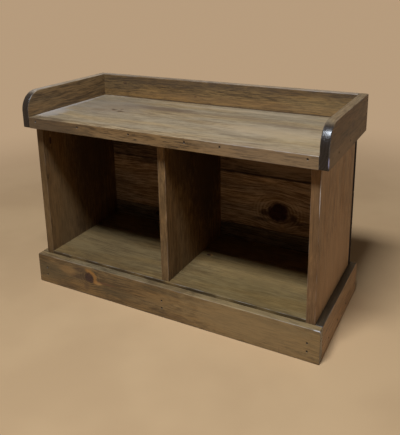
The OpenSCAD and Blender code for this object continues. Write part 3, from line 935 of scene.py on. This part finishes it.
def stained_pine(node, grain, light, dark, seed, ring_pitch=4.5, ring_strength=0.5, heart=(0.02, -0.06),
                 streaks=0.4, blotches=0.4, flecks=0.55, fleck_width=2.4, knots=(), spots=(), painted_glints=(),
                 edge_wear_and_highlight=0.25, edge_wear_and_highlight_from=None, end_dark=0.5, polish=0.45, end_polish=0.3, wax=0.5, top=None):
    """The finish of one board: two stain colours, mixed by rings, fibres, streaks and blotches. Top gives
    another two for the faces that look up, which on the gallery are a painted highlight and on the right
    plinth a painted shadow. Polish and end polish are how dull the faces and the end grain are, and wax is
    how much they reflect. The edges are paler, both from use and as a painted highlight on the arris, from
    one place along the board to its end, or all along it. Spots are marks through the whole board, some of
    them painted light and painted shade, and painted glints are painted highlights on one edge."""
    board = boards[node]
    material = bpy.data.materials.new(node + "_finish")
    material.use_nodes = True
    n = Nodes(material.node_tree)
    place, normal = board_place(n, board, grain)
    seeded = n.shifted(place, seed * SEED_SHIFT)
    point = tuple(n.parts(place))
    log_across, log_through, knot_fields = log_place(n, board, grain, point, seeded, knots)
    within, late = growth_rings(n, seeded, point[0], log_across, log_through, heart, ring_pitch)

    swirled = n.add("CombineXYZ", {0: point[0], 1: log_across, 2: log_through}).outputs[0]
    noises = stain_noises(n, seeded, n.shifted(swirled, seed * SWIRL_SHIFT), fleck_width)
    weights = {"fibre": 2.0, "fleck": 1.7 * flecks, "streak": 1.4 * streaks, "band": streaks,
               "blotch": 1.2 * blotches}
    tone = stain_tone(n, n.math("MULTIPLY", late, ring_strength), noises, weights, knot_fields)
    colour = stain_colour(n, seeded, tone, light, dark, top)
    deep = n.math("MULTIPLY", n.ease(noises["fleck"], *DEEP_FLECKS), flecks)
    colour = n.mix(deep, colour, (*(c * DEEP_SHADE for c in dark), 1))

    rough = n.noise(seeded, MARK_GRAIN, detail=4, roughness=0.65)
    for *where, half_length, half_width, spot_colour, strength in spots:
        share = oval(n, point, rough, on_board(board, grain, where), half_length, half_width)
        colour = n.mix(n.math("MULTIPLY", share, strength), colour, (*spot_colour, 1))
    height = n.math("ADD", n.math("MULTIPLY", noises["fibre"], FIBRE_RELIEF),
                    n.math("MULTIPLY", late, RING_RELIEF))
    height = n.math("SUBTRACT", height, n.math("MULTIPLY", deep, FLECK_RELIEF))
    for knot in knot_fields:
        colour, height = knot_heart(n, seeded, noises["fleck"], knot, colour, height)

    end, colour = end_grain(n, normal, within, end_dark, colour)
    colour = worn_and_highlit_edges(n, board, grain, point, seeded, rough, light, edge_wear_and_highlight, edge_wear_and_highlight_from, painted_glints, colour)
    dull = n.math("ADD", n.swing(noises["blotch"], BLOTCH_GLOSS), n.ease(end, 0, 1, polish, end_polish))
    bump = n.add("Bump", {"Height": height, "Strength": RELIEF_STRENGTH,
                          "Distance": RELIEF_HEIGHT}).outputs[0]
    shader = n.add("BsdfPrincipled", {"Base Color": colour, "Roughness": dull, "Specular IOR Level": wax,
                                      "Normal": bump})
    n.add("OutputMaterial", {"Surface": shader.outputs[0]})
    board["piece"].data.materials.append(material)
    print(material.name, "knots:", len(knots), "spots:", len(spots))


# %% [markdown]
# ## The finish of each board
# One stain gives every board another colour, because each came from another log and has been used in another
# way. The seat is worn pale, the cubby floor has an olive cast, the back boards are reddish and knotty. Some
# of the colours are painted light and shade instead: the right gallery board is darker as painted shade, and
# spots, tops and glints paint light and shade on several boards.
# Places are in millimetres of the bench's own frame, in the order of the grain's letters. A knot is a place
# along and across, a radius, how long it is for its width, its strength, and the bright side of its rim. A
# spot is a place, half its length and width, its colour and its strength. A painted glint has a third
# coordinate.

# %% Seat
EVEN_RIM = (0, 0)
# Painted reflection: pale lilac strips along the seat's left edge and at its left corners
SEAT_PAINTED_REFLECTION = (0.40, 0.36, 0.33)
# Painted shade: the seat's left part darker and greyer, where less light fell
SEAT_LEFT_PAINTED_SHADE = (0.22, 0.18, 0.14)
SEAT_BROWN = (0.11, 0.072, 0.048)
SEAT_CRACK = (0.05, 0.038, 0.022)
SEAT_DARK = (0.167, 0.118, 0.074)
# Pale wood, and on the seat's right front painted light, where more light fell
SEAT_PALE = (0.468, 0.360, 0.236)
SEAT_YELLOW = (0.424, 0.288, 0.123)
# Painted shade at the edging's left end and painted light at its right end, as the light fell
EDGING_LEFT_PAINTED_SHADE = (0.072, 0.046, 0.025)
EDGING_RIGHT_PAINTED_LIGHT = (0.301, 0.196, 0.108)
EDGING_TOP = ((0.357, 0.268, 0.165), (0.178, 0.127, 0.078))

stained_pine("seat_board", "xyz", (0.357, 0.268, 0.165), (0.167, 0.121, 0.074), seed=1, ring_pitch=7,
             ring_strength=0.25, heart=(0.10, -0.07), streaks=0.45, blotches=0.45, flecks=0.35,
             fleck_width=3.4, edge_wear_and_highlight=0.3, polish=0.42,
             knots=[(-224, -9, 3.5, 1.6, 0.8, EVEN_RIM),
                    (-202, -14, 4.0, 1.6, 0.8, EVEN_RIM),
                    (-209, 6, 3.0, 1.6, 0.7, EVEN_RIM)],
             spots=[(-115, 54, 120, 22, SEAT_BROWN, 0.75),
                    # painted shade on the left part
                    (-265, 20, 130, 90, SEAT_LEFT_PAINTED_SHADE, 0.55),
                    (-227, -4, 13, 5, SEAT_CRACK, 0.9),
                    (-200, -16, 13, 5, SEAT_CRACK, 0.9),
                    (90, 52, 150, 12, SEAT_DARK, 0.6),
                    (250, 18, 110, 11, SEAT_DARK, 0.55),
                    (-230, 15, 60, 35, SEAT_DARK, 0.35),
                    (-262, -22, 25, 12, SEAT_DARK, 0.6),
                    # painted reflection along the left edge and at the left corners
                    (-365, -20, 10, 150, SEAT_PAINTED_REFLECTION, 0.5),
                    (-352, -95, 34, 55, SEAT_PAINTED_REFLECTION, 0.5),
                    (-320, 146, 40, 9, SEAT_PAINTED_REFLECTION, 0.5),
                    (60, 116, 260, 10, SEAT_PALE, 0.5),
                    (300, -69, 80, 45, SEAT_YELLOW, 0.35),
                    # painted light on the right front
                    (240, -40, 170, 50, SEAT_PALE, 0.45)])
stained_pine("seat_edging", "xzy", (0.229, 0.141, 0.066), (0.097, 0.058, 0.027), seed=2, ring_pitch=5,
             # Pale front arris from the middle to the right end: wear, and a painted highlight
             ring_strength=0.35, heart=(0.0, -0.11), streaks=0.6, flecks=1.0, fleck_width=3, edge_wear_and_highlight=0.9,
             edge_wear_and_highlight_from=(0.06, 0.14), top=EDGING_TOP,
             # painted shade at the left end, painted light at the right end
             spots=[(-330, 440, 170, 30, EDGING_LEFT_PAINTED_SHADE, 0.75),
                    (280, 450, 190, 30, EDGING_RIGHT_PAINTED_LIGHT, 0.35)])

# %% Gallery
# Painted highlights: paler colours for the gallery's upward faces, for the light they catch from above; the
# right board's are darker, with its painted shade
GALLERY_PAINTED_TOP_HIGHLIGHT = ((0.379, 0.299, 0.226), (0.212, 0.160, 0.113))
RIGHT_GALLERY_PAINTED_TOP_LIGHT = ((0.19, 0.134, 0.076), (0.11, 0.075, 0.042))
GALLERY_DARK = (0.061, 0.039, 0.023)
GALLERY_BROWN = (0.20, 0.12, 0.056)
GALLERY_WARM = (0.268, 0.149, 0.057)
# Painted light: the gallery back paler at its right end, where more light fell
GALLERY_RIGHT_PAINTED_LIGHT = (0.35, 0.235, 0.10)
GALLERY_GLINT = (0.45, 0.43, 0.62)
GALLERY_ENDS = {
    "left": {"light": (0.255, 0.156, 0.067), "dark": (0.095, 0.057, 0.025), "seed": 3, "top": GALLERY_PAINTED_TOP_HIGHLIGHT},
    # Painted shade: the right board's colours are darker than the left board's, to dim its outer face in this
    # light
    "right": {"light": (0.134, 0.076, 0.033), "dark": (0.051, 0.029, 0.0125), "seed": 4,
              "top": RIGHT_GALLERY_PAINTED_TOP_LIGHT,
              "knots": [(18, 481, 7, 1.6, 0.6, EVEN_RIM)],
              "spots": [(-70, 447, 120, 22, GALLERY_BROWN, 0.6)],
              "painted_glints": [(-163, 448, 390, 4, 11, GALLERY_GLINT, 0.8)]},
}

for side, own in GALLERY_ENDS.items():
    stained_pine("gallery_" + side, "yzx", ring_pitch=6, heart=(0.01, -0.08), end_dark=0.97, edge_wear_and_highlight=0.3,
                 polish=0.62, end_polish=0.29, **own)
stained_pine("gallery_back", "xzy", (0.256, 0.147, 0.054), (0.095, 0.054, 0.0225), seed=5, ring_pitch=5.5,
             heart=(0.06, -0.05), streaks=0.7, flecks=0.7, fleck_width=3, edge_wear_and_highlight=0.3, top=GALLERY_PAINTED_TOP_HIGHLIGHT,
             knots=[(-296, 500, 3.5, 1.6, 0.4, EVEN_RIM),
                    (-65, 479, 3, 1.6, 0.35, EVEN_RIM)],
             spots=[(-180, 512, 260, 15, GALLERY_DARK, 0.6),
                    (200, 514, 300, 10, GALLERY_DARK, 0.5),
                    (-320, 490, 90, 14, GALLERY_DARK, 0.4),
                    (60, 474, 330, 12, GALLERY_WARM, 0.45),
                    # painted light at the right end
                    (310, 484, 130, 26, GALLERY_RIGHT_PAINTED_LIGHT, 0.25),
                    (0, 461, 500, 2.5, GALLERY_DARK, 0.7)])

# %% Sides and divider
# Small dark marks, and painted shade high at the back of the cubbies, where the seat shades the sides and the
# divider
SIDE_DARK_AND_PAINTED_SHADE = (0.033, 0.018, 0.009)
SIDE_PALE = (0.32, 0.20, 0.085)
LEFT_FRONT = (0.085, 0.048, 0.018)
RIGHT_FRONT = (0.12, 0.065, 0.028)
# Painted light: the right side paler low down, where less light reached it
RIGHT_LOW_PAINTED_LIGHT = (0.36, 0.205, 0.10)
# Painted highlight: a pale glint on the right side's front arris
RIGHT_PAINTED_GLINT = (0.85, 0.80, 0.78)
DIVIDER_FRONT = (0.09, 0.053, 0.024)

stained_pine("left_side", UPRIGHT, (0.212, 0.122, 0.055), (0.098, 0.055, 0.025), seed=6, ring_pitch=6,
             heart=(-0.03, -0.07), edge_wear_and_highlight=0.3, end_dark=0.8, polish=0.5, wax=0.25,
             knots=[(390, -117, 4, 2.4, 1.0, EVEN_RIM)],
             spots=[(297, -137, 9, 3, SIDE_DARK_AND_PAINTED_SHADE, 0.8),
                    (260, -144, 400, 5, LEFT_FRONT, 0.8),
                    (180, -100, 160, 60, SIDE_PALE, 0.3),
                    # painted shade high at the back of the left cubby
                    (350, 50, 200, 110, SIDE_DARK_AND_PAINTED_SHADE, 0.7)])
stained_pine("right_side", UPRIGHT, (0.307, 0.170, 0.077), (0.151, 0.081, 0.037), seed=7, ring_pitch=6,
             heart=(-0.03, -0.07), edge_wear_and_highlight=0.7, streaks=0.55, end_dark=0.8, polish=0.5, wax=0.25,
             spots=[(260, -144, 400, 4, RIGHT_FRONT, 0.6),
                    # painted light low down
                    (120, 0, 170, 150, RIGHT_LOW_PAINTED_LIGHT, 0.5)],
             # painted glint on the front arris
             painted_glints=[(364, -142, 370, 32, 6, RIGHT_PAINTED_GLINT, 1.0)])
stained_pine("centre_divider", UPRIGHT, (0.28, 0.17, 0.077), (0.13, 0.075, 0.033), seed=8, ring_pitch=6,
             heart=(0.05, -0.06), edge_wear_and_highlight=0.5, end_dark=0.8, polish=0.55, wax=0.2,
             spots=[(260, -144, 400, 5, DIVIDER_FRONT, 0.7),
                    # painted shade high in the cubbies, under the seat
                    (330, 60, 220, 120, SIDE_DARK_AND_PAINTED_SHADE, 0.85),
                    (400, -60, 110, 90, SIDE_DARK_AND_PAINTED_SHADE, 0.65)])

# %% Cubby floor
JOINT_DARK = (0.02, 0.013, 0.007)
FLOOR_DARK = (0.100, 0.064, 0.028)
FLOOR_PALE = (0.301, 0.201, 0.080)
FLOOR_YELLOW = (0.165, 0.108, 0.035)
FRONT_MARKS = ((-325, 40), (-215, 30), (-140, 45), (-30, 35), (90, 60), (210, 45), (320, 50))

stained_pine("cubby_floor", "xyz", (0.240, 0.160, 0.069), (0.112, 0.070, 0.029), seed=9, ring_pitch=6,
             ring_strength=0.25, heart=(0.07, -0.09), blotches=0.9, flecks=0.18, fleck_width=4, edge_wear_and_highlight=0.8,
             polish=0.55, wax=0.25,
             knots=[(35, 22, 4, 1.6, 1.0, (0.6, 0.6))],
             spots=[*((x, -143, half_length, 3.2, JOINT_DARK, 0.85) for x, half_length in FRONT_MARKS),
                    (-220, -60, 260, 160, FLOOR_DARK, 0.4),
                    (200, -20, 160, 60, FLOOR_PALE, 0.4),
                    (225, -100, 190, 60, FLOOR_YELLOW, 0.35)])

# %% Finish of the back boards
BACK_DARK = (0.025, 0.013, 0.009)
BACK_PALE = (0.50, 0.33, 0.19)
BACK_SURFACE = {"end_dark": 0.95, "polish": 0.7, "end_polish": 0.95, "wax": 0.05}

stained_pine("back_board_top", "xzy", (0.24, 0.155, 0.105), (0.066, 0.042, 0.028), seed=10, ring_pitch=7,
             heart=(0.02, -0.05), streaks=0.6, ring_strength=0.7, **BACK_SURFACE,
             spots=[(210, 335, 170, 60, BACK_PALE, 0.3),
                    (-230, 360, 150, 70, BACK_DARK, 0.35),
                    (0, 284, 500, 2.5, BACK_DARK, 0.7)])
stained_pine("back_board_middle", "xzy", (0.54, 0.375, 0.26), (0.20, 0.125, 0.078), seed=11, ring_pitch=8,
             heart=(-0.03, -0.04), streaks=0.55, ring_strength=0.9, **BACK_SURFACE,
             knots=[(182, 186, 26, 1.15, 1.0, EVEN_RIM)],
             spots=[(192, 150, 6, 5, BACK_PALE, 0.8),
                    (228, 188, 7, 4, BACK_PALE, 0.7),
                    (140, 180, 14, 12, BACK_DARK, 0.8),
                    (222, 178, 13, 10, BACK_DARK, 0.8),
                    (130, 160, 55, 6, BACK_DARK, 0.6),
                    (250, 165, 60, 7, BACK_DARK, 0.5),
                    (-180, 272, 170, 8, BACK_DARK, 0.6),
                    (0, 282, 500, 3, BACK_DARK, 0.8),
                    (0, 131, 500, 3, BACK_DARK, 0.6)])
stained_pine("back_board_bottom", "xzy", (0.29, 0.225, 0.16), (0.095, 0.07, 0.052), seed=12, ring_pitch=7,
             heart=(0.05, -0.05), ring_strength=0.7, **BACK_SURFACE,
             knots=[(-197, 113, 7, 1.6, 1.0, EVEN_RIM)])

# %% Finish of the plinth
# Dark marks round the knot and small marks, and painted shade along the plinth's foot on the floor
PLINTH_DARK_AND_PAINTED_SHADE = (0.067, 0.037, 0.021)
PLINTH_OLIVE = (0.085, 0.062, 0.03)
PLINTH_RED = (0.13, 0.052, 0.028)
PLINTH_WARM = (0.401, 0.216, 0.071)
# Painted light: the plinth paler to the right, where more light fell
PLINTH_RIGHT_PAINTED_LIGHT = (0.37, 0.25, 0.11)
# Painted highlight: a glint on the plinth's top front arris at its right end
PLINTH_PAINTED_GLINT = (0.70, 0.70, 0.74)
PLINTH_TOP = ((0.22, 0.152, 0.078), (0.105, 0.070, 0.035))
# Painted shadow: the right plinth's top is dark, where the cabinet side shades it
RIGHT_PLINTH_PAINTED_SHADOW = ((0.045, 0.031, 0.017), (0.022, 0.015, 0.009))

stained_pine("plinth_front", "xzy", (0.225, 0.137, 0.056), (0.09, 0.054, 0.023), seed=13, ring_pitch=5,
             ring_strength=0.3, heart=(0.08, -0.06), blotches=1.1, flecks=0.5, edge_wear_and_highlight=0.35, end_dark=0.6,
             top=PLINTH_TOP,
             knots=[(-218, 51, 14, 1.1, 1.0, (0.8, 0.6))],
             spots=[(-243, 66, 30, 9, PLINTH_DARK_AND_PAINTED_SHADE, 0.7),
                    (-250, 46, 34, 10, PLINTH_DARK_AND_PAINTED_SHADE, 0.6),
                    (-228, 24, 10, 14, PLINTH_DARK_AND_PAINTED_SHADE, 0.5),
                    (-345, 40, 70, 26, PLINTH_OLIVE, 0.6),
                    (-140, 30, 60, 16, PLINTH_OLIVE, 0.5),
                    (20, 70, 130, 10, PLINTH_OLIVE, 0.45),
                    (-290, 55, 30, 14, PLINTH_WARM, 0.35),
                    (-192, 41, 14, 5, PLINTH_WARM, 0.9),
                    (-165, 45, 32, 3, PLINTH_RED, 0.6),
                    # painted shade along the foot
                    (0, 0, 500, 3, PLINTH_DARK_AND_PAINTED_SHADE, 0.7),
                    (-300, 10, 45, 7, PLINTH_DARK_AND_PAINTED_SHADE, 0.4),
                    (60, 12, 70, 6, PLINTH_DARK_AND_PAINTED_SHADE, 0.4),
                    (310, 66, 60, 8, PLINTH_OLIVE, 0.5),
                    (298, 7, 1.4, 9, PLINTH_DARK_AND_PAINTED_SHADE, 0.9),
                    (306, 31, 4, 2, PLINTH_DARK_AND_PAINTED_SHADE, 0.8),
                    # painted light on the right part
                    (240, 45, 230, 60, PLINTH_RIGHT_PAINTED_LIGHT, 0.5)],
             # painted glint on the top front arris
             painted_glints=[(382, 80, -160, 11, 5, PLINTH_PAINTED_GLINT, 0.5)])
for side, seed, top in (("left", 14, PLINTH_TOP), ("right", 15, RIGHT_PLINTH_PAINTED_SHADOW)):
    stained_pine("plinth_" + side, "yzx", (0.312, 0.170, 0.075), (0.145, 0.079, 0.037), seed, ring_pitch=6,
                 heart=(0.06, -0.06), edge_wear_and_highlight=0.3, wax=0.3, top=top)

# %% [markdown]
# ## Hidden wood
# The cleats and the bearer under the cubby floor are sawn pine without stain. Their CAD shapes are right as
# they are, so they keep them and only get a finish: pale wood with fine saw marks across the grain.

# %% Hidden wood
BARE_NODES = ("cleat_left", "cleat_right", "cleat_divider", "centre_bearer")
BARE_FIBRES = (350, 12, 350)
SAW_MARKS = (6, 400, 6)
BARE_PALE = (0.62, 0.46, 0.27, 1)
BARE_DARK = (0.45, 0.30, 0.15, 1)
BARE_RELIEF = 0.5 * MM

bare_finish = bpy.data.materials.new("cleat_pine")
bare_finish.use_nodes = True
n = Nodes(bare_finish.node_tree)
place = n.add("TexCoord").outputs["Object"]
fibre = n.noise(place, BARE_FIBRES, detail=3, roughness=0.6)
saw_marks = n.noise(place, SAW_MARKS, detail=1)
colour = n.mix(n.ease(fibre, 0.3, 0.7), BARE_PALE, BARE_DARK)
height = n.math("ADD", n.math("MULTIPLY", fibre, 0.5), n.math("MULTIPLY", saw_marks, 0.5))
bump = n.add("Bump", {"Height": height, "Strength": 0.5, "Distance": BARE_RELIEF}).outputs[0]
rough = n.ease(saw_marks, 0.3, 0.7, 0.7, 0.85)
shader = n.add("BsdfPrincipled", {"Base Color": colour, "Roughness": rough, "Normal": bump})
n.add("OutputMaterial", {"Surface": shader.outputs[0]})
for node in BARE_NODES:
    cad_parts[node].data.materials.clear()
    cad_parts[node].data.materials.append(bare_finish)
print("bare pine nodes:", len(BARE_NODES))

# %% [markdown]
# ## Nails and screws
# The nail heads sit a little below the wood and are dull and dark, because stain ran into their pits. The
# screws under the seat are plain steel with turned heads.

# %% Nails and screws
STEEL_GRAIN = (900, 900, 900)
STEEL_DULLER = 0.2
STEEL_RELIEF = 0.1 * MM
NAIL_LIGHT = (0.07, 0.052, 0.04, 1)
NAIL_DARK = (0.025, 0.017, 0.012, 1)
SCREW_LIGHT = (0.50, 0.48, 0.44, 1)
SCREW_DARK = (0.30, 0.28, 0.25, 1)
FASTENERS = ("_nails", "_screws")


def steel(name, light, dark, roughness):
    """Dull steel: two greys in small patches, rougher where it is darker."""
    material = bpy.data.materials.new(name)
    material.use_nodes = True
    n = Nodes(material.node_tree)
    place = n.add("TexCoord").outputs["Object"]
    patch = n.noise(place, STEEL_GRAIN, detail=3)
    colour = n.mix(n.ease(patch, *PATCH_BORDER), light, dark)
    rough = n.ease(patch, *PATCH_BORDER, roughness, roughness + STEEL_DULLER)
    bump = n.add("Bump", {"Height": patch, "Strength": 0.3, "Distance": STEEL_RELIEF}).outputs[0]
    shader = n.add("BsdfPrincipled", {"Base Color": colour, "Roughness": rough, "Metallic": 1.0,
                                      "Normal": bump})
    n.add("OutputMaterial", {"Surface": shader.outputs[0]})
    return material


nail_finish = steel("nail_steel", NAIL_LIGHT, NAIL_DARK, roughness=0.6)
screw_finish = steel("screw_steel", SCREW_LIGHT, SCREW_DARK, roughness=0.3)
for node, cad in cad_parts.items():
    if node.endswith(FASTENERS):
        cad.data.materials.clear()
        cad.data.materials.append(nail_finish if node.endswith("_nails") else screw_finish)
print("steel nodes:", sum(node.endswith(FASTENERS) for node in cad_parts))
